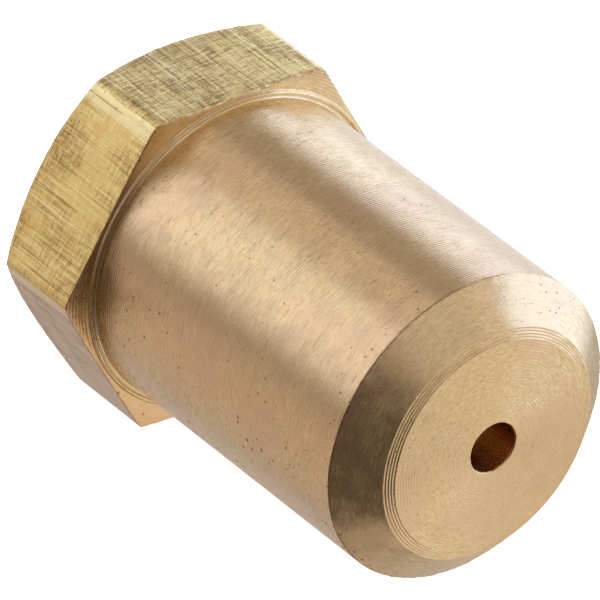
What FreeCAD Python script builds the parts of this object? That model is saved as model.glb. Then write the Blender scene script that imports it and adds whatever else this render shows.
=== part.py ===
"""Oil burner nozzle: a turned brass body with a hexagon head and a rear thread, and the pieces inside it.

Millimetres. The nozzle's axis is the X axis: the rear face, where it screws onto its adapter, is at x = 0,
and the spray leaves at the nose, towards +X. One flat of the hexagon faces down, -Z.
Oil comes in at the rear, passes the strainer and the hollow lock screw, runs along the distributor's grooves
and its tangential slots into the swirl chamber, and leaves through the orifice disc and the outlet.
"""
import FreeCAD, Part
import math
import os

# ---- hexagon head and barrel ----
ACROSS_FLATS = 15.875
HEX_THICKNESS = 5.4
REAR_CHAMFER_RADIUS = 7.5
REAR_CHAMFER_SLOPE = math.tan(math.radians(32))
BARREL_RADIUS = 7.4
BARREL_LENGTH = 16.68
NOSE_CHAMFER = 1.56
FACE_RADIUS = 5.65
FACE_CROWN = 0.46
SHOULDER_RING_RADIUS = 7.66
SHOULDER_RING_HEIGHT = 0.08
BASE_FILLET = 0.18
FACE_STEP = 0.05
CROWN_SHARE_AT_HALF_RADIUS = 0.75

# ---- outlet and bores ----
OUTLET_RADIUS = 1.2
MOUTH_RADIUS = 6.6
COUNTERSINK_SLOPE = math.tan(math.radians(60))
INLET_MAJOR_RADIUS = 6.35
INLET_MINOR_RADIUS = 5.84
INLET_PITCH = 25.4 / 27
INLET_THREAD_END = 6.9
INLET_WALL_END = 8.0
RELIEF_RADIUS = 6.3
WASHER_SEAT = 9.3
STRAINER_BORE_RADIUS = 4.8
LOCK_BORE_START = 12.4
LOCK_MAJOR_RADIUS = 4.0
LOCK_PITCH = 1.0
THREAD_DEPTH_PER_PITCH = 0.5413
LOCK_MINOR_RADIUS = LOCK_MAJOR_RADIUS - THREAD_DEPTH_PER_PITCH * LOCK_PITCH
LOCK_THREAD_END = 17.4
DISC_SEAT = 21.3

# ---- pieces inside ----
FIT = 0.06
STANDOFF = 0.05
SEAT_GAP = 0.02
DISC_THICKNESS = 2.05
ORIFICE_RADIUS = 0.2
ORIFICE_LENGTH = 0.6
SWIRL_SEAT_RADIUS = 1.9
DISTRIBUTOR_LENGTH = 2.35
DISTRIBUTOR_TIP_RADIUS = 0.65
DISTRIBUTOR_EDGE = 0.3
GROOVE_COUNT = 4
GROOVE_RADIUS = 0.45
SLOT_WIDTH = 0.3
LOCK_SCREW_LENGTH = 4.0
LOCK_SCREW_BORE = 1.6
LOCK_SCREW_EDGE = 0.35
DRIVER_SLOT_WIDTH = 1.1
DRIVER_SLOT_DEPTH = 1.3
FEED_SLOT_WIDTH = 0.8
FEED_SLOT_DEPTH = 0.7
THREAD_BACKLASH = 0.08
THREAD_OVERCUT = 0.05
THREAD_FLANK = 2 * math.tan(math.radians(30))
RIM_LENGTH = 2.95
RIM_WALL = 0.45
RIM_EDGE = 0.15
RIM_LIP_RADIUS = 3.4
RIM_LIP_THICKNESS = 0.8
PLATE_THICKNESS = 0.55
PLATE_HOLE_RADIUS = 0.36
PLATE_HOLE_SPACING = 1.05
PLATE_HOLE_ROWS = 3
PLATE_BORDER = 0.2
GAUZE_THICKNESS = 0.14
CLAMP_RING_WIDTH = 0.6
CLAMP_RING_HEIGHT = 0.8
WASHER_THICKNESS = 0.9
WASHER_OUTER_RADIUS = 5.75
WASHER_INNER_RADIUS = 4.95
WASHER_EDGE = 0.12

# ---- places along the axis that follow from the sizes above ----
HEX_CORNER_RADIUS = ACROSS_FLATS / math.sqrt(3)
CHAMFER_START = HEX_THICKNESS + BARREL_LENGTH
FACE_EDGE = CHAMFER_START + NOSE_CHAMFER
NOSE_TIP = FACE_EDGE + FACE_CROWN
DISC_REAR = DISC_SEAT - DISC_THICKNESS
DISTRIBUTOR_FRONT = DISC_REAR - STANDOFF
DISTRIBUTOR_REAR = DISTRIBUTOR_FRONT - DISTRIBUTOR_LENGTH
LOCK_SCREW_FRONT = DISTRIBUTOR_REAR - STANDOFF
LOCK_SCREW_REAR = LOCK_SCREW_FRONT - LOCK_SCREW_LENGTH
RIM_FRONT = LOCK_BORE_START - STANDOFF
RIM_REAR = RIM_FRONT - RIM_LENGTH
RIM_OUTER_RADIUS = STRAINER_BORE_RADIUS - FIT
STRAINER_DISC_RADIUS = RIM_OUTER_RADIUS - RIM_WALL - FIT / 2
PLATE_FRONT = RIM_FRONT - RIM_LIP_THICKNESS - FIT / 2
GAUZE_REAR = PLATE_FRONT - PLATE_THICKNESS - SEAT_GAP - GAUZE_THICKNESS
OVERCUT = 0.1


def corner(x, r):
    """A point of a lathe profile: x along the axis, r from it."""
    return FreeCAD.Vector(x, 0, r)


def lathe(wire):
    """Solid of revolution of a closed profile about the X axis."""
    solid = Part.Face(wire).revolve(FreeCAD.Vector(0, 0, 0), FreeCAD.Vector(1, 0, 0), 360)
    return Part.Solid(solid.Shells[0]) if solid.ShapeType != "Solid" else solid


def lathe_points(points):
    """Solid of revolution of a closed polygon of (x, r) corners."""
    corners = [corner(x, r) for x, r in points]
    return lathe(Part.makePolygon(corners + corners[:1]))


def tube(x0, x1, inner, outer):
    """Ring or disc between two planes across the axis."""
    return lathe_points([(x0, inner), (x1, inner), (x1, outer), (x0, outer)])


def rod(x0, x1, radius):
    """Cylinder along the axis."""
    return Part.makeCylinder(radius, x1 - x0, FreeCAD.Vector(x0, 0, 0), FreeCAD.Vector(1, 0, 0))


def thread_groove(x0, x1, pitch, r_inner, w_inner, r_outer, w_outer):
    """Right-handed helical groove cutter along the axis, with its widths at its inner and outer radii."""
    helix = Part.makeHelix(pitch, x1 - x0, r_inner)
    profile = Part.makePolygon([
        FreeCAD.Vector(r_inner, 0, -w_inner / 2),
        FreeCAD.Vector(r_outer, 0, -w_outer / 2),
        FreeCAD.Vector(r_outer, 0, w_outer / 2),
        FreeCAD.Vector(r_inner, 0, w_inner / 2),
        FreeCAD.Vector(r_inner, 0, -w_inner / 2),
    ])
    sweep = Part.BRepOffsetAPI.MakePipeShell(Part.Wire(helix.Edges))
    sweep.setFrenetMode(True)
    sweep.add(profile)
    sweep.build()
    sweep.makeSolid()
    groove = sweep.shape()
    groove.rotate(FreeCAD.Vector(0, 0, 0), FreeCAD.Vector(0, 1, 0), 90)
    groove.translate(FreeCAD.Vector(x0, 0, 0))
    return groove


def internal_groove_widths(pitch, minor, major):
    """Widths of a 60 degree internal thread's groove: at its bottom, and just inside the minor radius."""
    narrow = pitch / 8
    return narrow, narrow + (major - minor + THREAD_OVERCUT) * THREAD_FLANK


def internal_thread(x0, x1, pitch, minor, major):
    """Helical groove of a 60 degree internal thread in a bore of the minor radius."""
    narrow, wide = internal_groove_widths(pitch, minor, major)
    return thread_groove(x0, x1, pitch, minor - THREAD_OVERCUT, wide, major, narrow)


def annular_thread(x0, x1, pitch, minor, major):
    """The same section as a row of closed rings: every crest is a full cylinder of the minor radius."""
    narrow, wide = internal_groove_widths(pitch, minor, major)
    inner = minor - THREAD_OVERCUT
    grooves = []
    x = x0
    while x < x1:
        grooves.append(lathe_points([
            (x - wide / 2, inner), (x - narrow / 2, major), (x + narrow / 2, major), (x + wide / 2, inner)]))
        x += pitch
    return grooves


def external_thread(x0, x1, pitch, root, crest, backlash):
    """Groove of a 60 degree external thread on a rod of the crest radius, widened by the backlash."""
    narrow = pitch / 4 + backlash
    wide = narrow + (crest - root + THREAD_OVERCUT) * THREAD_FLANK
    return thread_groove(x0, x1, pitch, root, narrow, crest + THREAD_OVERCUT, wide)


def hexagon_head():
    """Hexagonal prism with its rear corners turned off by a cone."""
    corners = []
    for k in range(7):
        turn = FreeCAD.Rotation(FreeCAD.Vector(1, 0, 0), 60 * k)
        corners.append(turn.multVec(FreeCAD.Vector(0, HEX_CORNER_RADIUS, 0)))
    prism = Part.Face(Part.makePolygon(corners)).extrude(FreeCAD.Vector(HEX_THICKNESS, 0, 0))
    outer = HEX_CORNER_RADIUS + OVERCUT
    cone_end = (outer - REAR_CHAMFER_RADIUS) * REAR_CHAMFER_SLOPE
    blank = lathe_points([
        (0, 0), (0, REAR_CHAMFER_RADIUS), (cone_end, outer), (HEX_THICKNESS, outer), (HEX_THICKNESS, 0)])
    return prism.common(blank)


def barrel():
    """Straight barrel with its base ring and fillet, nose chamfer, stepped rim and crowned face."""
    ring_front = HEX_THICKNESS + SHOULDER_RING_HEIGHT
    rim = FACE_EDGE + FACE_STEP
    rim_inner = FACE_RADIUS - 2 * FACE_STEP
    middle = rim + (NOSE_TIP - rim) * CROWN_SHARE_AT_HALF_RADIUS
    fillet_sag = BASE_FILLET * (1 - math.sqrt(0.5))
    outline = [
        corner(HEX_THICKNESS - OVERCUT, 0),
        corner(HEX_THICKNESS - OVERCUT, SHOULDER_RING_RADIUS),
        corner(ring_front, SHOULDER_RING_RADIUS),
        corner(ring_front, BARREL_RADIUS + BASE_FILLET),
        corner(ring_front + BASE_FILLET, BARREL_RADIUS),
        corner(CHAMFER_START, BARREL_RADIUS),
        corner(FACE_EDGE, FACE_RADIUS),
        corner(FACE_EDGE, rim_inner),
        corner(rim, rim_inner),
    ]
    fillet_middle = corner(ring_front + fillet_sag, BARREL_RADIUS + fillet_sag)
    edges = [Part.LineSegment(a, b).toShape() for a, b in zip(outline[:3], outline[1:4])]
    edges.append(Part.Arc(outline[3], fillet_middle, outline[4]).toShape())
    edges += [Part.LineSegment(a, b).toShape() for a, b in zip(outline[4:8], outline[5:9])]
    edges.append(Part.Arc(outline[8], corner(middle, rim_inner / 2), corner(NOSE_TIP, 0)).toShape())
    edges.append(Part.LineSegment(corner(NOSE_TIP, 0), outline[0]).toShape())
    return lathe(Part.Wire(edges))


def body_cavity():
    """Everything that is bored from the rear, and the outlet."""
    mouth_end = (MOUTH_RADIUS - INLET_MINOR_RADIUS) / COUNTERSINK_SLOPE
    return lathe_points([
        (-OVERCUT, 0), (-OVERCUT, MOUTH_RADIUS + OVERCUT * COUNTERSINK_SLOPE),
        (mouth_end, INLET_MINOR_RADIUS), (INLET_WALL_END, INLET_MINOR_RADIUS),
        (INLET_WALL_END, RELIEF_RADIUS), (WASHER_SEAT, RELIEF_RADIUS),
        (WASHER_SEAT, STRAINER_BORE_RADIUS), (LOCK_BORE_START, STRAINER_BORE_RADIUS),
        (LOCK_BORE_START, LOCK_MINOR_RADIUS), (DISC_SEAT, LOCK_MINOR_RADIUS), (DISC_SEAT, OUTLET_RADIUS),
        (NOSE_TIP + OVERCUT, OUTLET_RADIUS), (NOSE_TIP + OVERCUT, 0)])


def nozzle_body():
    """Hexagon head, barrel, bores and both internal threads, in one piece of brass."""
    blank = hexagon_head().fuse(barrel()).cut(body_cavity())
    for ring in annular_thread(
            INLET_PITCH, INLET_THREAD_END, INLET_PITCH, INLET_MINOR_RADIUS, INLET_MAJOR_RADIUS):
        blank = blank.cut(ring)
    lock = internal_thread(
        LOCK_BORE_START - LOCK_PITCH, LOCK_THREAD_END, LOCK_PITCH, LOCK_MINOR_RADIUS, LOCK_MAJOR_RADIUS + FIT)
    return blank.cut(lock).removeSplitter()


def orifice_disc():
    """Steel disc at the front of the bore: a conical swirl chamber that ends in the metering orifice."""
    disc = tube(DISC_REAR, DISC_SEAT, 0, LOCK_MINOR_RADIUS - FIT / 3)
    chamber_depth = DISC_THICKNESS - ORIFICE_LENGTH
    chamber = lathe_points([
        (DISC_REAR - OVERCUT, 0), (DISC_REAR - OVERCUT, SWIRL_SEAT_RADIUS + OVERCUT),
        (DISC_REAR + chamber_depth, SWIRL_SEAT_RADIUS - chamber_depth), (DISC_REAR + chamber_depth, 0)])
    orifice = rod(DISC_REAR, DISC_SEAT + OVERCUT, ORIFICE_RADIUS)
    return disc.cut(chamber).cut(orifice)


def swirl_distributor():
    """Slug with a conical nose: grooves along its side and tangential slots across the cone."""
    radius = LOCK_MINOR_RADIUS - FIT
    cone_base = SWIRL_SEAT_RADIUS - 2 * STANDOFF
    tip = DISTRIBUTOR_FRONT + cone_base - DISTRIBUTOR_TIP_RADIUS
    slug = lathe_points([
        (DISTRIBUTOR_REAR, 0), (DISTRIBUTOR_REAR, radius), (DISTRIBUTOR_FRONT - DISTRIBUTOR_EDGE, radius),
        (DISTRIBUTOR_FRONT, radius - DISTRIBUTOR_EDGE), (DISTRIBUTOR_FRONT, cone_base),
        (tip, DISTRIBUTOR_TIP_RADIUS), (tip, 0)])
    for k in range(GROOVE_COUNT):
        groove = rod(DISTRIBUTOR_REAR - OVERCUT, DISTRIBUTOR_FRONT + OVERCUT, GROOVE_RADIUS)
        groove.translate(FreeCAD.Vector(0, 0, radius))
        slot = Part.makeBox(tip - DISTRIBUTOR_FRONT, SLOT_WIDTH, radius)
        slot.translate(FreeCAD.Vector(
            DISTRIBUTOR_FRONT, DISTRIBUTOR_TIP_RADIUS - SLOT_WIDTH, DISTRIBUTOR_TIP_RADIUS / 2))
        for cutter in (groove, slot):
            cutter.rotate(FreeCAD.Vector(0, 0, 0), FreeCAD.Vector(1, 0, 0), 360 / GROOVE_COUNT * k)
            slug = slug.cut(cutter)
    return slug


def slot_across(x0, x1, width):
    """Cutter of a slot across the whole lock screw, between two planes across the axis."""
    height = 2 * (LOCK_MAJOR_RADIUS + OVERCUT)
    slot = Part.makeBox(x1 - x0, width, height)
    slot.translate(FreeCAD.Vector(x0, -width / 2, -height / 2))
    return slot


def lock_screw():
    """Hollow threaded plug: a driver slot at its rear end and feed slots across its front end."""
    crest = LOCK_MAJOR_RADIUS - 2 * FIT
    root = LOCK_MINOR_RADIUS - FIT
    blank = lathe_points([
        (LOCK_SCREW_REAR, LOCK_SCREW_BORE), (LOCK_SCREW_REAR, crest - LOCK_SCREW_EDGE),
        (LOCK_SCREW_REAR + LOCK_SCREW_EDGE, crest), (LOCK_SCREW_FRONT - LOCK_SCREW_EDGE, crest),
        (LOCK_SCREW_FRONT, crest - LOCK_SCREW_EDGE), (LOCK_SCREW_FRONT, LOCK_SCREW_BORE)])
    start = LOCK_BORE_START - LOCK_PITCH / 2
    turns_back = math.ceil((start - LOCK_SCREW_REAR) / LOCK_PITCH) + 1
    first = start - turns_back * LOCK_PITCH
    last = LOCK_SCREW_FRONT + LOCK_PITCH
    groove = external_thread(first, last, LOCK_PITCH, root, crest, THREAD_BACKLASH)
    plug = rod(first - LOCK_PITCH, last + LOCK_PITCH, crest).cut(groove).common(blank)
    driver = slot_across(LOCK_SCREW_REAR - OVERCUT, LOCK_SCREW_REAR + DRIVER_SLOT_DEPTH, DRIVER_SLOT_WIDTH)
    plug = plug.cut(driver)
    for k in range(2):
        feed = slot_across(LOCK_SCREW_FRONT - FEED_SLOT_DEPTH, LOCK_SCREW_FRONT + OVERCUT, FEED_SLOT_WIDTH)
        feed.rotate(FreeCAD.Vector(0, 0, 0), FreeCAD.Vector(1, 0, 0), 90 * k)
        plug = plug.cut(feed)
    return plug


def strainer_rim():
    """Turned cup that carries the strainer, with a lip at its front."""
    outer = RIM_OUTER_RADIUS
    seat = RIM_FRONT - RIM_LIP_THICKNESS
    return lathe_points([
        (RIM_REAR, outer - RIM_WALL), (RIM_REAR, outer - RIM_EDGE), (RIM_REAR + RIM_EDGE, outer),
        (RIM_FRONT - RIM_EDGE, outer), (RIM_FRONT, outer - RIM_EDGE), (RIM_FRONT, RIM_LIP_RADIUS),
        (seat, RIM_LIP_RADIUS), (seat, outer - RIM_WALL)])


def strainer_support():
    """Perforated plate that backs the gauze: holes on a hexagonal grid."""
    plate = tube(PLATE_FRONT - PLATE_THICKNESS, PLATE_FRONT, 0, STRAINER_DISC_RADIUS)
    reach = STRAINER_DISC_RADIUS - 2 * PLATE_HOLE_RADIUS - PLATE_BORDER
    for row in range(-PLATE_HOLE_ROWS, PLATE_HOLE_ROWS + 1):
        for column in range(-PLATE_HOLE_ROWS, PLATE_HOLE_ROWS + 1):
            y = (column + row / 2) * PLATE_HOLE_SPACING
            z = row * PLATE_HOLE_SPACING * math.sqrt(3) / 2
            if math.hypot(y, z) < reach:
                hole = rod(PLATE_FRONT - PLATE_THICKNESS - OVERCUT, PLATE_FRONT + OVERCUT, PLATE_HOLE_RADIUS)
                hole.translate(FreeCAD.Vector(0, y, z))
                plate = plate.cut(hole)
    return plate


def strainer_gauze():
    """Disc of the thickness of the woven wire gauze."""
    return tube(GAUZE_REAR, GAUZE_REAR + GAUZE_THICKNESS, 0, STRAINER_DISC_RADIUS)


def strainer_clamp_ring():
    """Flat ring that holds the gauze on its plate."""
    front = GAUZE_REAR - SEAT_GAP
    inner = STRAINER_DISC_RADIUS - CLAMP_RING_WIDTH
    return tube(front - CLAMP_RING_HEIGHT, front, inner, STRAINER_DISC_RADIUS)


def sealing_washer():
    """Copper washer on its seat beyond the thread."""
    front = WASHER_SEAT - SEAT_GAP
    rear = front - WASHER_THICKNESS
    shoulder = WASHER_OUTER_RADIUS - WASHER_EDGE
    return lathe_points([
        (rear, WASHER_INNER_RADIUS), (rear, shoulder), (rear + WASHER_EDGE, WASHER_OUTER_RADIUS),
        (front - WASHER_EDGE, WASHER_OUTER_RADIUS), (front, shoulder), (front, WASHER_INNER_RADIUS)])


NODES = {
    "nozzle_body": nozzle_body,
    "orifice_disc": orifice_disc,
    "swirl_distributor": swirl_distributor,
    "lock_screw": lock_screw,
    "strainer_rim": strainer_rim,
    "strainer_support": strainer_support,
    "strainer_gauze": strainer_gauze,
    "strainer_clamp_ring": strainer_clamp_ring,
    "sealing_washer": sealing_washer,
}

os.makedirs("parts", exist_ok=True)
for node, make in NODES.items():
    shape = make()
    shape.exportStep(f"parts/{node}.step")
    print(node, "valid" if shape.isValid() else "INVALID", len(shape.Solids), round(shape.Volume, 2))
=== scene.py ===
"""Looks of the oil burner nozzle: turned brass body, its threads, and the pieces inside it.

The nozzle's axis is X. Lengths below are in millimetres, as on a drawing, and MM turns them into metres.
"""
import bpy
import math
import numpy as np
from mathutils import Matrix, Vector, noise


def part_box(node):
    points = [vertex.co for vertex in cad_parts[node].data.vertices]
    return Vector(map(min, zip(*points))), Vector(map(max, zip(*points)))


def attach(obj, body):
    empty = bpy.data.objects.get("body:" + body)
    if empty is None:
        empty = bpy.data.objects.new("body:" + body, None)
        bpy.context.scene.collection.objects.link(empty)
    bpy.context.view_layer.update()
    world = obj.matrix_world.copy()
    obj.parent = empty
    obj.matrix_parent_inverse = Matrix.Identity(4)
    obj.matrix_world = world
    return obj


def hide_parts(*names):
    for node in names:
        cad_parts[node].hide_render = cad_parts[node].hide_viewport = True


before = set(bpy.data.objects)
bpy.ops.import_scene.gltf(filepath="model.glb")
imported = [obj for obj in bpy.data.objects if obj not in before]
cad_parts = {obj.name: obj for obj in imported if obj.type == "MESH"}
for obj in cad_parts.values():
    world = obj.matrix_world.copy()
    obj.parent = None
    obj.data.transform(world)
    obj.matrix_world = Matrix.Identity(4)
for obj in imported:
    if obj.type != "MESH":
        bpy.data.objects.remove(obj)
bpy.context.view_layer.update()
MM = 0.001

# ---- sizes of the body, in millimetres ----
BODY_LOW, BODY_HIGH = [np.array(c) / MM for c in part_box("nozzle_body")]
FLAT_RADIUS = BODY_HIGH[2]
HEX_THICKNESS = 5.4
REAR_FACE_RADIUS = 7.5
REAR_SLOPE = math.tan(math.radians(32))
HEX_BEVEL_WIDTH = 1.0
HEX_BEVEL_TILT = math.radians(6.5)
BARREL_RADIUS = 7.4
CROWN_TIP = BODY_HIGH[0] - 0.04
CHAMFER_START = HEX_THICKNESS + 16.68
FACE_EDGE = CHAMFER_START + 1.56
FACE_RADIUS = 5.65
OUTLET_RADIUS = 1.2
CROWN_RINGS = 24
STEP_COUNT = 4
STEP_WIDTH = 0.118
STEP_HEIGHT = 0.05
FEED_PITCH = 0.135
MOUTH_RADIUS = 6.6
MOUTH_DEPTH = 0.44
INLET_MINOR = 5.84
INLET_MAJOR = 6.35
INLET_PITCH = 25.4 / 27
INLET_THREAD_END = 6.9
INLET_WALL_END = 8.0
RELIEF_RADIUS = 6.3
WASHER_SEAT = 9.3
STRAINER_BORE = 4.8
LOCK_BORE_START = 12.4
LOCK_PITCH = 1.0
LOCK_MINOR = 3.4587
LOCK_MAJOR = 4.06
LOCK_THREAD_END = 17.4
DISC_SEAT = 21.3


# ================= mesh tools =================
def column_angles():
    """Angles of the mesh's columns about the axis: even, with more of them at the hexagon's corners."""
    even = np.radians(np.arange(0, 360, 1.0))
    near = np.radians(np.array([-2.5, -1.6, -1.3, -0.7, -0.35, 0.35, 0.7, 1.3, 1.6, 2.5]))
    corners = [np.radians(60 * k) + near for k in range(6)]
    return np.unique(np.round(np.mod(np.concatenate([even] + corners), 2 * math.pi), 6))


THETA = column_angles()


def hexagon_radius(theta):
    """Distance from the axis to the hexagon's side, whose corners are near 0, 60, ... degrees.

    Each flat bends down slightly towards the corner before it, as on drawn bar, and the corners are rounded.
    """
    bevel = FLAT_RADIUS * math.cos(HEX_BEVEL_TILT) + math.sin(HEX_BEVEL_TILT) * (
        FLAT_RADIUS * math.tan(math.pi / 6) - HEX_BEVEL_WIDTH)
    sharpness = 12.0
    total = np.zeros_like(theta)
    for k in range(6):
        middle = math.pi / 6 + math.pi / 3 * k
        for facing, distance in ((middle, FLAT_RADIUS), (middle - HEX_BEVEL_TILT, bevel)):
            slant = np.cos(theta - facing)
            reach = distance / np.maximum(slant, 0.2)
            total += np.exp(-sharpness * (reach - FLAT_RADIUS))
    return FLAT_RADIUS - np.log(total) / sharpness


def wobble(theta, seed, size, count):
    """Smooth irregular closed wave about the axis: what a tool's chatter and knocks leave on an edge."""
    values = [noise.fractal(
        Vector((count * math.cos(t), count * math.sin(t), seed)), 1.0, 2.0, 3) for t in theta]
    return size * np.array(values)


def rows_of(corners):
    """Rows of (x, r) over all columns from corners (x, r, rounding, steps to the next corner).

    x and r are numbers or one value per column. Each corner is rounded by a short quadratic curve.
    """
    points = []
    for corner in corners:
        x, r = [np.broadcast_to(np.asarray(value, float), THETA.shape) for value in corner[:2]]
        points.append(np.stack([x, r], 1))
    rows = []
    count = len(points)
    for i, corner in enumerate(corners):
        here, last, after = points[i], points[i - 1], points[(i + 1) % count]
        rounding, steps = corner[2], corner[3]
        back, ahead = last - here, after - here
        length_back = np.linalg.norm(back, axis=1, keepdims=True)
        length_ahead = np.linalg.norm(ahead, axis=1, keepdims=True)
        cut = np.minimum(rounding, 0.45 * np.minimum(length_back, length_ahead))
        a = here + back / length_back * cut
        b = here + ahead / length_ahead * cut
        if rounding:
            for t in (0, 0.25, 0.5, 0.75, 1):
                rows.append((1 - t) ** 2 * a + 2 * t * (1 - t) * here + t ** 2 * b)
        else:
            rows.append(here)
        following = corners[(i + 1) % count]
        cut_next = np.minimum(following[2], 0.45 * length_ahead)
        c = after - ahead / length_ahead * cut_next
        start = rows[-1]
        for k in range(1, steps):
            rows.append(start + (c - start) * k / steps)
    return rows


def mesh_piece(name, vertices, faces, material_of=None, smooth=True):
    """New mesh object from vertices in millimetres."""
    mesh = bpy.data.meshes.new(name)
    mesh.from_pydata((np.asarray(vertices) * MM).tolist(), [], faces)
    if material_of is not None:
        mesh.polygons.foreach_set("material_index", np.asarray(material_of, dtype=np.int32))
    mesh.polygons.foreach_set("use_smooth", [smooth] * len(mesh.polygons))
    mesh.update()
    piece = bpy.data.objects.new(name, mesh)
    bpy.context.scene.collection.objects.link(piece)
    return piece


def grid_faces(row_count, column_count, close_rows):
    """Quads of a grid that closes on itself across its columns, and across its rows if asked."""
    faces = []
    last = row_count if close_rows else row_count - 1
    for i in range(last):
        j = (i + 1) % row_count
        for k in range(column_count):
            m = (k + 1) % column_count
            here, above = i * column_count, j * column_count
            faces.append((here + k, here + m, above + m, above + k))
    return faces


def thread_depth(x, theta, pitch, start, narrow, slope_width):
    """0 on the crest to 1 at the bottom of a right-handed groove.

    The groove's centre passes start at the bore's lowest point.
    """
    phase = np.mod((x - start) / pitch - (theta + math.pi / 2) / (2 * math.pi) + 0.5, 1) - 0.5
    away = np.abs(phase) * pitch
    return np.clip((narrow / 2 + slope_width - away) / slope_width, 0, 1)


def thread_radius(x, pitch, start, minor, major):
    """Radius of every column of a bore with a helical 60 degree groove, at a place along the axis."""
    depth = major - minor
    return minor + depth * thread_depth(x, THETA, pitch, start, pitch / 8, depth * math.tan(math.radians(30)))


def thread_rows(x0, x1, pitch, start, minor, major, per_turn=14):
    """Rows of a bore with a helical groove, which is open at x0 and fades out towards x1."""
    rows = []
    for x in np.linspace(x0, x1, int((x1 - x0) / pitch * per_turn)):
        fade = max(min(1.0, (x1 - x) / (0.35 * pitch)), 0)
        r = minor + (thread_radius(x, pitch, start, minor, major) - minor) * fade
        rows.append(np.stack([np.full_like(THETA, x), r], 1))
    return rows


# ================= body =================
def nose_and_barrel():
    """Corners from the outlet over the face and the barrel to the hexagon's front face."""
    hole = OUTLET_RADIUS + wobble(THETA, 3.0, 0.012, 2.5)
    lip = 0.045 + wobble(THETA, 9.0, 0.02, 2.0)
    corners = [
        (DISC_SEAT, OUTLET_RADIUS, 0, 6),
        (CROWN_TIP - 0.06, hole, 0.02, 1),
        (CROWN_TIP, hole + lip, 0.02, 2),
    ]
    face_end = FACE_RADIUS - STEP_COUNT * STEP_WIDTH
    edge_top = FACE_EDGE + STEP_COUNT * STEP_HEIGHT
    for k in range(1, CROWN_RINGS):
        share = k / CROWN_RINGS
        r = OUTLET_RADIUS + 0.1 + (face_end - OUTLET_RADIUS - 0.1) * share
        corners.append((edge_top + (CROWN_TIP - edge_top) * (1 - share ** 1.7), r, 0, 1))
    for k in range(STEP_COUNT):
        r = face_end + STEP_WIDTH * k
        x = edge_top - STEP_HEIGHT * k
        slip = wobble(THETA, 20.0 + k, 0.006, 4.0)
        corners.append((x + 0.012, r + slip, 0.016, 1))
        corners.append((x - STEP_HEIGHT * 0.85, r + 0.03 + slip, 0.012, 1))
    ragged = wobble(THETA, 5.0, 0.03, 9.0) + wobble(THETA, 6.0, 0.03, 30.0)
    slope = (BARREL_RADIUS - FACE_RADIUS) / (FACE_EDGE - CHAMFER_START)
    corners += [
        (FACE_EDGE, FACE_RADIUS, 0.02, 10),
        (CHAMFER_START + 0.14, BARREL_RADIUS - 0.14 * slope, 0, 1),
        (CHAMFER_START + ragged, BARREL_RADIUS, 0.03, 1),
        (CHAMFER_START - 0.25, BARREL_RADIUS, 0, 46),
        (HEX_THICKNESS + 0.42, BARREL_RADIUS, 0.2, 2),
        (HEX_THICKNESS + 0.07, BARREL_RADIUS + 0.05, 0.05, 1),
        (HEX_THICKNESS + 0.05, BARREL_RADIUS + 0.11, 0.012, 1),
        (HEX_THICKNESS + 0.1, BARREL_RADIUS + 0.125, 0.012, 1),
        (HEX_THICKNESS + 0.1, BARREL_RADIUS + 0.155, 0.012, 1),
        (HEX_THICKNESS + 0.03, BARREL_RADIUS + 0.175, 0.015, 1),
        (HEX_THICKNESS + 0.03, BARREL_RADIUS + 0.2, 0.015, 1),
        (HEX_THICKNESS + 0.16, BARREL_RADIUS + 0.24, 0.07, 1),
        (HEX_THICKNESS + 0.16, BARREL_RADIUS + 0.36, 0.07, 1),
        (HEX_THICKNESS, BARREL_RADIUS + 0.42, 0.03, 2),
    ]
    return corners


def hexagon_corners():
    """Corners over the hexagon: front edge, sides, rear chamfer and rear face."""
    outline = hexagon_radius(THETA)
    burr = np.abs(wobble(THETA, 11.0, 0.09, 16.0)) + np.abs(wobble(THETA, 12.0, 0.13, 60.0))
    rough_sides = 0.35 + 0.65 * (np.abs(THETA - math.pi / 2) < math.radians(31))
    side = outline - np.maximum(wobble(THETA, 14.0, 0.012, 9.0), 0)
    rear_edge = (side - REAR_FACE_RADIUS) * REAR_SLOPE
    border = np.maximum(outline - 0.12, BARREL_RADIUS + 0.45)
    thread_mouth = thread_radius(MOUTH_DEPTH, INLET_PITCH, -INLET_PITCH, INLET_MINOR, INLET_MAJOR)
    return [
        (HEX_THICKNESS, border, 0, 1),
        (HEX_THICKNESS - burr * rough_sides, side, 0.04, 14),
        (rear_edge + wobble(THETA, 15.0, 0.04, 14.0), side, 0.08, 6),
        (0.0, REAR_FACE_RADIUS + wobble(THETA, 16.0, 0.03, 8.0), 0.08, 3),
        (0.0, MOUTH_RADIUS, 0.04, 2),
        (MOUTH_DEPTH, thread_mouth, 0.02, 1),
    ]


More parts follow.
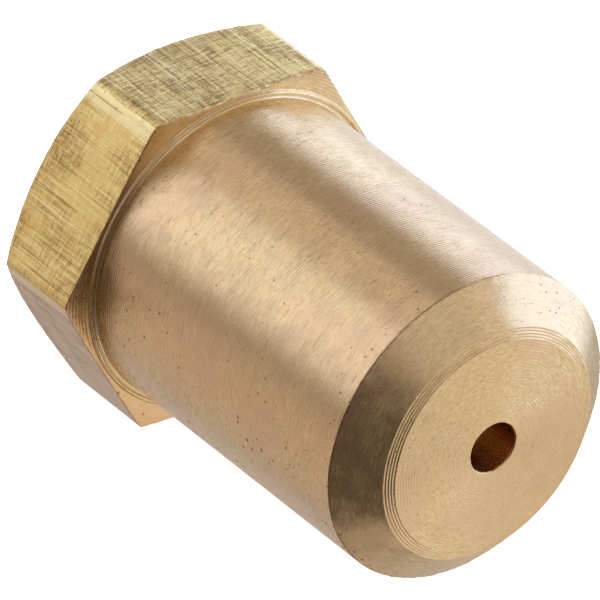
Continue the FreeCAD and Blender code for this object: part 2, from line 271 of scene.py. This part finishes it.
def body_piece():
    """The whole brass body as one closed mesh with real threads, each face marked for one of three materials."""
    front = nose_and_barrel()
    hexagon = hexagon_corners()
    outside = rows_of(front + hexagon)
    inlet = thread_rows(MOUTH_DEPTH + 0.02, INLET_THREAD_END, INLET_PITCH, -INLET_PITCH, INLET_MINOR, INLET_MAJOR)
    lock = thread_rows(
        LOCK_BORE_START, LOCK_THREAD_END, LOCK_PITCH, LOCK_BORE_START - LOCK_PITCH, LOCK_MINOR, LOCK_MAJOR)

    def ring(x, r):
        return np.stack([np.full_like(THETA, x), np.full_like(THETA, r)], 1)

    land = [ring(x, INLET_MINOR) for x in (7.0, 7.5, INLET_WALL_END - 0.02)]
    seat = [ring(INLET_WALL_END, INLET_MINOR + 0.02), ring(INLET_WALL_END, RELIEF_RADIUS - 0.05),
            ring(INLET_WALL_END + 0.05, RELIEF_RADIUS), ring(WASHER_SEAT - 0.05, RELIEF_RADIUS),
            ring(WASHER_SEAT, RELIEF_RADIUS - 0.05), ring(WASHER_SEAT, STRAINER_BORE + 0.04),
            ring(WASHER_SEAT + 0.04, STRAINER_BORE), ring(LOCK_BORE_START - 0.04, STRAINER_BORE),
            ring(LOCK_BORE_START, STRAINER_BORE - 0.04)]
    inner = [ring(x, LOCK_MINOR) for x in (LOCK_THREAD_END + 0.02, 19.0, DISC_SEAT - 0.02)]
    floor = [ring(DISC_SEAT, LOCK_MINOR - 0.02), ring(DISC_SEAT, OUTLET_RADIUS + 0.4)]
    rows = outside + inlet + land + seat + lock + inner + floor
    vertices = []
    for row in rows:
        vertices.append(np.stack([row[:, 0], row[:, 1] * np.cos(THETA), row[:, 1] * np.sin(THETA)], 1))
    vertices = np.concatenate(vertices)
    columns = len(THETA)
    faces = grid_faces(len(rows), columns, True)
    front_rows = len(rows_of_count(front + hexagon[:1]))
    edge_rows = 2
    rows_along_flat = 17
    side_rows = range(front_rows + edge_rows, front_rows + edge_rows + rows_along_flat)
    row_material = np.zeros(len(rows), int)
    row_material[list(side_rows)] = 1
    row_material[len(outside) - 2:] = 2
    piece = mesh_piece("brass_body", vertices, faces, np.repeat(row_material, columns))
    return piece


def rows_of_count(corners):
    """One entry per row that these corners make when more corners follow them."""
    entries = []
    for corner in corners:
        entries += [0] * ((5 if corner[2] else 1) + corner[3] - 1)
    return entries


# ================= node tools =================
class Nodes:
    """Short way to write a node tree."""

    def __init__(self, name):
        self.material = bpy.data.materials.new(name)
        self.material.use_nodes = True
        self.tree = self.material.node_tree
        self.tree.nodes.clear()
        self.output = self.tree.nodes.new("ShaderNodeOutputMaterial")
        self.shader = self.tree.nodes.new("ShaderNodeBsdfPrincipled")
        self.tree.links.new(self.shader.outputs[0], self.output.inputs["Surface"])

    @classmethod
    def of(cls, material):
        """The same short way for a material that already has its tree."""
        nodes = cls.__new__(cls)
        nodes.material = material
        nodes.tree = material.node_tree
        nodes.shader = next(node for node in nodes.tree.nodes if node.type == "BSDF_PRINCIPLED")
        return nodes

    def overlay(self, socket, factor, tint):
        """Mix a tint over what already feeds a socket of the shader."""
        before = self.shader.inputs[socket].links[0].from_socket
        self.set(self.shader.inputs[socket], self.mix(factor, before, tint))

    def add(self, kind, inputs=(), **settings):
        """Node with attributes set; an input is a number, a colour or another node's output."""
        node = self.tree.nodes.new(kind)
        for key, value in settings.items():
            setattr(node, key, value)
        pairs = inputs.items() if isinstance(inputs, dict) else enumerate(inputs)
        for key, value in pairs:
            self.set(node.inputs[key], value)
        return node

    def set(self, socket, value):
        """Link an output to a socket, or give it a fixed value."""
        if isinstance(value, bpy.types.NodeSocket):
            self.tree.links.new(value, socket)
        elif value is not None:
            socket.default_value = value

    def math(self, operation, a, b=0.0, c=0.0, clamp=False):
        """Output of a Math node."""
        return self.add("ShaderNodeMath", (a, b, c), operation=operation, use_clamp=clamp).outputs[0]

    def noise(self, vector, scale=1.0, detail=2.0, roughness=0.5, distortion=0.0):
        """Factor of a Noise texture."""
        node = self.add("ShaderNodeTexNoise", {
            "Vector": vector, "Scale": scale, "Detail": detail, "Roughness": roughness, "Distortion": distortion})
        return node.outputs[0]

    def vector(self, x, y, z):
        """Combined vector."""
        return self.add("ShaderNodeCombineXYZ", (x, y, z)).outputs[0]

    def span(self, value, low, high, to_low=0.0, to_high=1.0):
        """Smooth step of a value from low to high."""
        node = self.add("ShaderNodeMapRange", (value, low, high, to_low, to_high), interpolation_type="SMOOTHSTEP")
        return node.outputs[0]

    def mix(self, factor, a, b):
        """Mixed colour."""
        node = self.add("ShaderNodeMix", data_type="RGBA")
        self.set(node.inputs[0], factor)
        self.set(node.inputs[6], a)
        self.set(node.inputs[7], b)
        return node.outputs[2]

    def bump(self, height, distance, strength=1.0, normal=None):
        """Normal of a Bump node."""
        node = self.add("ShaderNodeBump", {"Height": height, "Distance": distance, "Strength": strength})
        if normal is not None:
            self.set(node.inputs["Normal"], normal)
        return node.outputs[0]


def colour(r, g, b):
    """Linear colour from the 0 to 255 values that a screen shows."""
    def linear(v):
        v = v / 255
        return v / 12.92 if v <= 0.04045 else ((v + 0.055) / 1.055) ** 2.4
    return (linear(r), linear(g), linear(b), 1.0)


def lathe_coordinates(n):
    """(distance along the turned profile, distance from the axis, direction about the axis) in millimetres."""
    position = n.add("ShaderNodeTexCoord").outputs["Object"]
    split = n.add("ShaderNodeSeparateXYZ", (position,))
    x = n.math("MULTIPLY", split.outputs[0], 1 / MM)
    y = n.math("MULTIPLY", split.outputs[1], 1 / MM)
    z = n.math("MULTIPLY", split.outputs[2], 1 / MM)
    r = n.math("MAXIMUM", n.math("SQRT", n.math("ADD", n.math("MULTIPLY", y, y), n.math("MULTIPLY", z, z))), 0.01)
    along = n.math("SUBTRACT", x, n.math("MULTIPLY", r, 0.9))
    return along, r, n.math("DIVIDE", y, r), n.math("DIVIDE", z, r), x, y, z


def turned_metal(name, light, dark, pink, roughness, aniso, line_depth, pit_radius):
    """Metal turned on a lathe: short feed marks around the axis, grain, pits and slow changes of colour."""
    n = Nodes(name)
    along, r, cy, cz, x, y, z = lathe_coordinates(n)

    def around(frequency, lengths, seed):
        """Noise vector: so many cells per millimetre along the profile, and per radius around the axis."""
        return n.vector(
            n.math("MULTIPLY_ADD", along, frequency, seed),
            n.math("MULTIPLY", cy, lengths),
            n.math("MULTIPLY", cz, lengths))

    solid = n.vector(x, y, z)
    broad = n.noise(around(2.2, 4.0, 3.0), 1.0, 2.0, 0.5)
    marks = n.noise(around(8.5, 14.0, 17.0), 1.0, 2.0, 0.55)
    fine = n.noise(around(15.0, 15.0, 11.0), 1.0, 2.0, 0.6)
    grain = n.noise(solid, 6.5, 2.0, 0.65)
    cloud = n.noise(solid, 0.8, 3.0, 0.6)
    slow = n.noise(solid, 0.22, 2.0, 0.5)
    shift = n.noise(around(0.6, 2.5, 7.0), 1.0, 1.0, 0.5)
    feed = n.math("SINE", n.math("MULTIPLY_ADD", along, 2 * math.pi / FEED_PITCH, n.math("MULTIPLY", shift, 14.0)))
    feed_place = n.span(cloud, 0.4, 0.6, 0.3, 1.0)

    shade = n.math("ADD", n.math("MULTIPLY", marks, 0.34), n.math("MULTIPLY", fine, 0.26))
    shade = n.math("ADD", shade, n.math("MULTIPLY", grain, 0.26))
    shade = n.math("ADD", shade, n.math("MULTIPLY", cloud, 0.14))
    base = n.mix(n.span(shade, 0.36, 0.64), dark, light)
    base = n.mix(n.span(slow, 0.44, 0.62, 0.0, 0.6), base, pink)
    scratch = n.span(n.noise(around(16.0, 3.0, 31.0), 1.0, 1.0, 0.5), 0.58, 0.74)
    groove = n.span(n.noise(around(11.0, 7.0, 53.0), 1.0, 1.0, 0.5), 0.66, 0.74)
    base = n.mix(n.math("MULTIPLY", scratch, 0.4), base, light)
    base = n.mix(n.math("MULTIPLY", groove, 0.25), base, colour(150, 108, 66))

    cells = n.add("ShaderNodeTexVoronoi", {"Vector": solid, "Scale": 2.4, "Randomness": 1.0})
    size = n.span(n.noise(solid, 0.3, 2.0, 0.6), 0.42, 0.64, 0.2, 1.2)
    size = n.math("MULTIPLY", size, n.span(r, 3.0, 7.2, 0.35, 1.0))
    size = n.math("ADD", size, n.math("MULTIPLY", n.span(z, 4.0, -2.5), n.span(y, 1.0, -5.0, 0.0, 0.75)))
    away = n.math("SUBTRACT", cells.outputs["Distance"], n.math("MULTIPLY", size, pit_radius * 2.4))
    pit = n.math("SUBTRACT", 1.0, n.span(away, -0.07, 0.05))
    base = n.mix(n.math("MULTIPLY", pit, 0.6), base, colour(150, 104, 60))
    n.set(n.shader.inputs["Base Color"], base)
    n.shader.inputs["Metallic"].default_value = 1.0
    rough = n.math("MULTIPLY_ADD", fine, 0.2, roughness - 0.1)
    rough = n.math("ADD", rough, n.math("MULTIPLY", n.math("SUBTRACT", cloud, 0.5), 0.08))
    n.set(n.shader.inputs["Roughness"], n.math("MULTIPLY_ADD", pit, 0.25, rough, clamp=True))
    n.shader.inputs["Anisotropic"].default_value = aniso
    n.shader.inputs["Anisotropic Rotation"].default_value = 0.25
    tangent = n.add("ShaderNodeTangent", direction_type="RADIAL", axis="X")
    n.set(n.shader.inputs["Tangent"], tangent.outputs[0])
    height = n.math("MULTIPLY", n.math("MULTIPLY", feed, feed_place), 0.8)
    layers = (
        (marks, 1.0), (fine, 0.6), (grain, 0.35), (broad, 0.3), (scratch, 0.5), (groove, -0.5), (pit, -1.0))
    for layer, amount in layers:
        height = n.math("MULTIPLY_ADD", layer, amount, height)
    n.set(n.shader.inputs["Normal"], n.bump(height, line_depth * MM))
    return n.material


def outer_turned_brass():
    """Turned brass of the body's outside: as turned_metal, with wear and painted light on it.

    That is a dark brown line at the nose edge, tarnish that is kept to the side away from the light as painted
    shade, darker hexagon corners, a painted highlight on the bead, lighter and warmer metal low on the front face,
    and painted shade in the outlet.
    """
    material = turned_metal(
        "turned_brass", colour(246, 221, 178), colour(221, 189, 143), colour(230, 198, 162), 0.28, 0.78, 0.005, 0.05)
    n = Nodes.of(material)
    _, r, _, _, x, y, z = lathe_coordinates(n)
    # Dark brown line along the nose edge: tarnish, kept to the side away from the light, where it is painted shade.
    # The hexagon corners darken as well.
    ragged = n.math("MULTIPLY", n.math("SUBTRACT", n.noise(n.vector(x, y, z), 5.0, 2.0, 0.6), 0.5), 0.12)
    from_edge = n.math("ABSOLUTE", n.math("ADD", n.math("SUBTRACT", x, CHAMFER_START), ragged))
    tarnish_and_edge_shade = n.math("MULTIPLY", n.math("SUBTRACT", 1.0, n.span(from_edge, 0.015, 0.06)), n.span(r, 7.0, 7.3))
    tarnish_and_edge_shade = n.math("MULTIPLY", tarnish_and_edge_shade, n.span(y, 2.0, -2.0))
    corner = n.math("MULTIPLY", n.span(n.math("ADD", r, ragged), 8.0, 9.3), 0.3)
    tarnish_and_edge_shade = n.math("MAXIMUM", n.math("MULTIPLY", tarnish_and_edge_shade, 0.55), corner)
    # Pale ring on the bead beside the hexagon: a painted highlight.
    bead_highlight = n.math("MULTIPLY", n.span(r, 7.43, 7.48), n.span(r, 7.64, 7.58))
    n.overlay("Base Color", n.math("MULTIPLY", bead_highlight, 0.8), colour(255, 246, 220))
    n.overlay("Base Color", tarnish_and_edge_shade, colour(126, 78, 42))
    # Lighter, warmer metal towards the bottom of the front face, by the barrel.
    low_front = n.math("MULTIPLY", n.span(r, 7.66, 7.84), n.span(z, 2.5, -0.5))
    low_front = n.math("MULTIPLY", low_front, n.span(x, HEX_THICKNESS - 0.4, HEX_THICKNESS - 0.2))
    n.overlay("Base Color", n.math("MULTIPLY", low_front, 0.5), colour(242, 194, 144))
    # Painted shade in the outlet: its bore is tinted darker and warmer.
    outlet_shade = n.math("MULTIPLY", n.math("SUBTRACT", 1.0, n.span(r, OUTLET_RADIUS + 0.02, OUTLET_RADIUS + 0.05)), 0.8)
    n.overlay("Base Color", outlet_shade, colour(226, 160, 84))
    return material


def drawn_brass():
    """Hexagon flats as the bar was drawn: lines along the bar, cross scratches, brown patches and pits, with painted
    light: greyer lower flats as a painted floor reflection, a lit copy of the colours on the upward flat and painted
    highlights along the corners.
    """
    n = Nodes("drawn_brass")
    x, y, z = lathe_coordinates(n)[4:]
    solid = n.vector(x, y, z)

    def stretched(along_bar, across_bar, seed):
        """Noise vector with its own number of cells per millimetre along and across the bar."""
        return n.vector(
            n.math("MULTIPLY_ADD", x, along_bar, seed),
            n.math("MULTIPLY", y, across_bar),
            n.math("MULTIPLY", z, across_bar))

    half_flat = FLAT_RADIUS * math.tan(math.pi / 6)
    top = n.math(
        "MULTIPLY", n.span(z, FLAT_RADIUS - 0.5, FLAT_RADIUS - 0.3),
        n.span(n.math("ABSOLUTE", y), half_flat + 0.02, half_flat - 0.08))
    lines = n.noise(stretched(0.3, 8.0, 0.0), 1.0, 3.0, 0.65)
    hatch = n.noise(stretched(10.0, 1.3, 5.0), 1.0, 3.0, 0.65)
    grit = n.noise(solid, 7.0, 3.0, 0.7)
    mottle = n.noise(stretched(1.3, 0.7, 9.0), 1.0, 4.0, 0.65, 0.6)
    patch = n.noise(solid, 0.3, 3.0, 0.6, 0.4)
    weave = n.math("ADD", n.math("MULTIPLY", lines, 0.36), n.math("MULTIPLY", hatch, 0.34))
    weave = n.math("ADD", weave, n.math("MULTIPLY", grit, 0.3))

    gold = n.mix(n.span(weave, 0.36, 0.64), colour(226, 192, 118), colour(248, 226, 158))
    gold = n.mix(n.span(mottle, 0.5, 0.68, 0.0, 0.4), gold, colour(220, 166, 96))
    # The upward flat gets its own higher-contrast colours: a lit copy of the flat colours, painted for how light
    # falls on it.
    top_flat_lit_tones = n.mix(n.span(weave, 0.39, 0.59), colour(183, 151, 86), colour(255, 234, 162))
    # The lower flats turn greyer: a painted reflection of the pale floor.
    floor_reflection_grey = n.mix(n.span(weave, 0.36, 0.64), colour(208, 178, 144), colour(230, 206, 176))
    base = n.mix(n.span(z, 0.05, -0.15), gold, floor_reflection_grey)
    base = n.mix(top, base, top_flat_lit_tones)
    near_side = n.span(y, 3.6, 0.4)
    brown = n.math(
        "MULTIPLY", n.span(n.math("MULTIPLY_ADD", near_side, -0.09, patch), 0.38, 0.5), n.span(weave, 0.56, 0.44))
    brown = n.math("MULTIPLY", brown, n.span(grit, 0.4, 0.56, 0.25, 1.0))
    base = n.mix(n.math("MULTIPLY", brown, n.span(top, 0.0, 1.0, 0.7, 0.85)), base, colour(134, 94, 54))

    # Pale band along each hexagon corner, narrower on the upward flat: a painted highlight standing in for the
    # corners' rounding.
    turn = n.math("FLOORED_MODULO", n.math("ARCTAN2", z, y), math.pi / 3)
    across = n.math("TANGENT", n.math("SUBTRACT", turn, math.pi / 6))
    from_corner = n.math("MULTIPLY_ADD", across, FLAT_RADIUS, FLAT_RADIUS * math.tan(math.pi / 6))
    from_corner = n.math("ADD", from_corner, n.math("MULTIPLY", lines, 0.35))
    narrowing = n.math("MULTIPLY_ADD", top, 2.6, 1.0)
    corner_highlight = n.math("SUBTRACT", 1.0, n.span(n.math("MULTIPLY", from_corner, narrowing), 0.75, 1.2))
    base = n.mix(n.math("MULTIPLY", corner_highlight, 0.6), base, colour(255, 240, 190))
    bright = n.span(n.noise(stretched(0.14, 9.0, 21.0), 1.0, 1.0), 0.63, 0.71)
    base = n.mix(n.math("MULTIPLY", bright, n.span(top, 0.0, 1.0, 0.4, 0.75)), base, colour(255, 242, 200))
    dark = n.span(n.noise(stretched(0.18, 9.0, 41.0), 1.0, 1.0), 0.64, 0.72)
    base = n.mix(n.math("MULTIPLY", dark, 0.5), base, colour(140, 100, 58))
    rust = n.math("MULTIPLY", n.math("SUBTRACT", 1.0, n.span(x, 0.9, 1.5)), n.span(grit, 0.44, 0.6))
    rim = n.span(n.math("MULTIPLY_ADD", grit, 0.12, x), HEX_THICKNESS - 0.04, HEX_THICKNESS + 0.02)
    base = n.mix(n.math("MULTIPLY", rust, 0.35), base, colour(150, 100, 56))
    rim_beside_top = n.math("MULTIPLY", rim, n.math("SUBTRACT", 1.0, top))
    base = n.mix(n.math("MULTIPLY", rim_beside_top, 0.8), base, colour(150, 92, 44))

    cells = n.add("ShaderNodeTexVoronoi", {"Vector": solid, "Scale": 2.2, "Randomness": 1.0})
    size = n.span(n.noise(solid, 0.5, 2.0, 0.6), 0.48, 0.66, 0.02, 0.11)
    pit = n.math("SUBTRACT", 1.0, n.span(n.math("SUBTRACT", cells.outputs["Distance"], size), -0.04, 0.05))
    base = n.mix(n.math("MULTIPLY", pit, 0.6), base, colour(140, 90, 44))
    n.set(n.shader.inputs["Base Color"], base)
    n.shader.inputs["Metallic"].default_value = 1.0
    n.set(n.shader.inputs["Roughness"], n.math("MULTIPLY_ADD", grit, 0.3, 0.22, clamp=True))
    n.shader.inputs["Anisotropic"].default_value = 0.3
    tangent = n.add("ShaderNodeTangent", direction_type="RADIAL", axis="X")
    n.set(n.shader.inputs["Tangent"], tangent.outputs[0])
    height = n.math("MULTIPLY", lines, 1.0)
    height = n.math("MULTIPLY_ADD", hatch, 0.8, height)
    height = n.math("MULTIPLY_ADD", grit, 0.7, height)
    height = n.math("MULTIPLY_ADD", bright, 0.8, height)
    height = n.math("MULTIPLY_ADD", dark, -0.8, height)
    height = n.math("MULTIPLY_ADD", pit, -1.5, height)
    n.set(n.shader.inputs["Normal"], n.bump(height, 0.008 * MM))
    return n.material


# ================= inner pieces =================
def tube_along(points, radius, sides):
    """Vertices and faces of a closed round wire along points."""
    points = np.asarray(points)
    ahead = np.gradient(points, axis=0)
    ahead /= np.linalg.norm(ahead, axis=1, keepdims=True)
    side = np.cross(ahead, [1.0, 0.0, 0.0])
    side /= np.linalg.norm(side, axis=1, keepdims=True)
    up = np.cross(side, ahead)
    vertices = []
    for k in range(sides):
        a = 2 * math.pi * k / sides
        vertices.append(points + radius * (math.cos(a) * side + math.sin(a) * up))
    vertices = np.stack(vertices, 1).reshape(-1, 3)
    faces = grid_faces(len(points), sides, False)
    faces.append(tuple(reversed(range(sides))))
    faces.append(tuple(range(len(vertices) - sides, len(vertices))))
    return vertices, faces


def gauze_piece():
    """Woven wire gauze: wires both ways, each passing over one and under the next."""
    low, high = [np.array(c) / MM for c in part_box("strainer_gauze")]
    middle = (low[0] + high[0]) / 2
    radius = high[1] - 0.04
    pitch = 0.26
    wire = 0.036
    count = int(radius / pitch)
    vertices, faces = [], []
    total = 0
    for way in range(2):
        for k in range(-count, count + 1):
            offset = k * pitch
            half = math.sqrt(max(radius ** 2 - offset ** 2, 0))
            if half < pitch:
                continue
            run = np.linspace(-half, half, max(int(2 * half / pitch * 4), 8))
            sign = 1 if (k + way) % 2 else -1
            lift = sign * wire * 0.9 * np.cos(math.pi * run / pitch)
            first, second = (run, np.full_like(run, offset)) if way == 0 else (np.full_like(run, offset), run)
            v, f = tube_along(np.stack([middle + lift, first, second], 1), wire, 6)
            vertices.append(v)
            faces += [tuple(i + total for i in face) for face in f]
            total += len(v)
    return mesh_piece("woven_gauze", np.concatenate(vertices), faces)


# ================= build =================
turned = outer_turned_brass()
drawn = drawn_brass()
inner_brass = turned_metal(
    "inner_brass", colour(226, 192, 130), colour(186, 142, 84), colour(196, 150, 110), 0.3, 0.4, 0.004, 0.03)
steel = turned_metal(
    "ground_steel", colour(206, 206, 204), colour(150, 150, 152), colour(180, 178, 174), 0.26, 0.4, 0.003, 0.02)
wire_steel = turned_metal(
    "wire_steel", colour(200, 200, 200), colour(150, 150, 150), colour(170, 168, 164), 0.3, 0.0, 0.001, 0.0)
copper = turned_metal(
    "copper", colour(226, 158, 124), colour(182, 112, 80), colour(160, 96, 70), 0.32, 0.3, 0.004, 0.04)

body = body_piece()
for material in (turned, drawn, inner_brass):
    body.data.materials.append(material)
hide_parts("nozzle_body")
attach(body, "root")

gauze = gauze_piece()
gauze.data.materials.append(wire_steel)
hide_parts("strainer_gauze")
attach(gauze, "strainer")

CAD_MATERIALS = {
    "orifice_disc": steel,
    "swirl_distributor": steel,
    "lock_screw": inner_brass,
    "strainer_rim": inner_brass,
    "strainer_support": steel,
    "strainer_clamp_ring": inner_brass,
    "sealing_washer": copper,
}
for node, material in CAD_MATERIALS.items():
    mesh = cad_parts[node].data
    mesh.materials.clear()
    mesh.materials.append(material)


# ================= floor, light and camera =================
def floor_piece():
    """Large pale floor under the nozzle, which lies on a hexagon flat."""
    half = 4.0
    z = BODY_LOW[2] * MM
    mesh = bpy.data.meshes.new("floor")
    mesh.from_pydata([(-half, -half, z), (half, -half, z), (half, half, z), (-half, half, z)], [], [(0, 1, 2, 3)])
    floor = bpy.data.objects.new("floor", mesh)
    bpy.context.scene.collection.objects.link(floor)
    n = Nodes("floor")
    position = n.add("ShaderNodeTexCoord").outputs["Object"]
    grain = n.noise(position, 300.0, 2.0)
    n.set(n.shader.inputs["Base Color"], n.mix(grain, (0.86, 0.86, 0.86, 1), (0.9, 0.9, 0.9, 1)))
    n.shader.inputs["Roughness"].default_value = 0.6
    n.shader.inputs["Emission Color"].default_value = (1.0, 1.0, 1.0, 1.0)
    n.shader.inputs["Emission Strength"].default_value = 0.9
    floor.data.materials.append(n.material)
    floor.visible_glossy = False


TARGET = Vector((10.35, 0.0, 0.025)) * MM
CAMERA_AZIMUTH = math.radians(-38.86)
CAMERA_ELEVATION = math.radians(33.37)
CAMERA_ROLL = math.radians(3.01)
CAMERA_DISTANCE = 0.4528
CAMERA_LENS = 623.0


def direction(azimuth, elevation):
    """Unit vector towards that azimuth and elevation."""
    return Vector((math.cos(elevation) * math.cos(azimuth), math.cos(elevation) * math.sin(azimuth), math.sin(elevation)))


def add_camera():
    """Long lens at the viewing angle, aimed at the axis."""
    data = bpy.data.cameras.new("camera")
    data.lens = CAMERA_LENS
    data.sensor_width = 36.0
    data.clip_start = 0.01
    data.clip_end = 20.0
    camera = bpy.data.objects.new("camera", data)
    bpy.context.scene.collection.objects.link(camera)
    back = direction(CAMERA_AZIMUTH, CAMERA_ELEVATION)
    turn = back.to_track_quat("Z", "Y").to_matrix() @ Matrix.Rotation(CAMERA_ROLL, 3, "Z")
    camera.matrix_world = Matrix.Translation(TARGET + back * CAMERA_DISTANCE) @ turn.to_4x4()
    bpy.context.scene.camera = camera


def add_panel(name, azimuth, elevation, distance, width, height, strength, tint=(1, 1, 1)):
    """Rectangular soft light that faces the nozzle."""
    data = bpy.data.lights.new(name, "AREA")
    data.shape = "RECTANGLE"
    data.size = width
    data.size_y = height
    data.energy = strength
    data.color = tint
    light = bpy.data.objects.new(name, data)
    light.visible_glossy = False
    bpy.context.scene.collection.objects.link(light)
    away = direction(math.radians(azimuth), math.radians(elevation))
    light.matrix_world = Matrix.Translation(TARGET + away * distance) @ away.to_track_quat("Z", "Y").to_matrix().to_4x4()


# Soft surroundings: (azimuth, elevation, full radius, fade, colour) of each panel, in degrees.
# Later ones cover earlier ones.
ROOM = (0.4, 0.35, 0.31)
PANELS = {
    "floor_bounce": (40, -34, 22, 22, (0.82, 0.77, 0.68)),
    "far_floor": (150, -40, 30, 20, (0.6, 0.56, 0.56)),
    "left_bounce": (-136, -28, 12, 20, (0.61, 0.51, 0.44)),
    "left_softbox": (-145, 30, 11, 22, (1.2, 1.2, 1.24)),
    "overhead": (-177, 54, 12, 3, (0.84, 0.76, 0.69)),
    "chamfer_fill": (45, 32, 14, 14, (0.85, 0.8, 0.74)),
    "right_fill": (104, -2, 14, 10, (1.05, 1.08, 1.2)),
    "front_overhead": (5, 42, 16, 13, (0.7, 0.66, 0.61)),
    "right_panel": (76, 6, 24, 14, (1.3, 1.58, 2.1)),
    "back_low": (130, -6, 18, 10, (0.94, 0.99, 1.13)),
    "back_panel": (133, 17, 9, 9, (1.42, 1.62, 2.15)),
    "dark_front": (-41, -19, 39.5, 8, (0.1, 0.078, 0.062)),
}


def add_world():
    """Studio surroundings that the brass mirrors: soft panels on a dim room, dark towards the front."""
    world = bpy.data.worlds.new("studio")
    world.use_nodes = True
    tree = world.node_tree
    where = tree.nodes.new("ShaderNodeTexCoord").outputs["Generated"]
    result = None
    for name, (azimuth, elevation, radius, fade, tint) in PANELS.items():
        dot = tree.nodes.new("ShaderNodeVectorMath")
        dot.operation = "DOT_PRODUCT"
        tree.links.new(where, dot.inputs[0])
        dot.inputs[1].default_value = direction(math.radians(azimuth), math.radians(elevation))
        edge = tree.nodes.new("ShaderNodeMapRange")
        edge.interpolation_type = "SMOOTHSTEP"
        tree.links.new(dot.outputs["Value"], edge.inputs["Value"])
        edge.inputs["From Min"].default_value = math.cos(math.radians(radius + fade))
        edge.inputs["From Max"].default_value = math.cos(math.radians(radius))
        mix = tree.nodes.new("ShaderNodeMix")
        mix.data_type = "RGBA"
        mix.label = name
        tree.links.new(edge.outputs[0], mix.inputs[0])
        if result is None:
            mix.inputs[6].default_value = (*ROOM, 1)
        else:
            tree.links.new(result, mix.inputs[6])
        mix.inputs[7].default_value = (*tint, 1)
        result = mix.outputs[2]
    background = tree.nodes["Background"]
    tree.links.new(result, background.inputs[0])
    background.inputs[1].default_value = 1.0
    bpy.context.scene.world = world


floor_piece()
add_camera()
add_world()
add_panel("floor_light", -80, 70, 0.5, 0.6, 0.6, 5.0)
bpy.context.scene.view_settings.view_transform = "Standard"
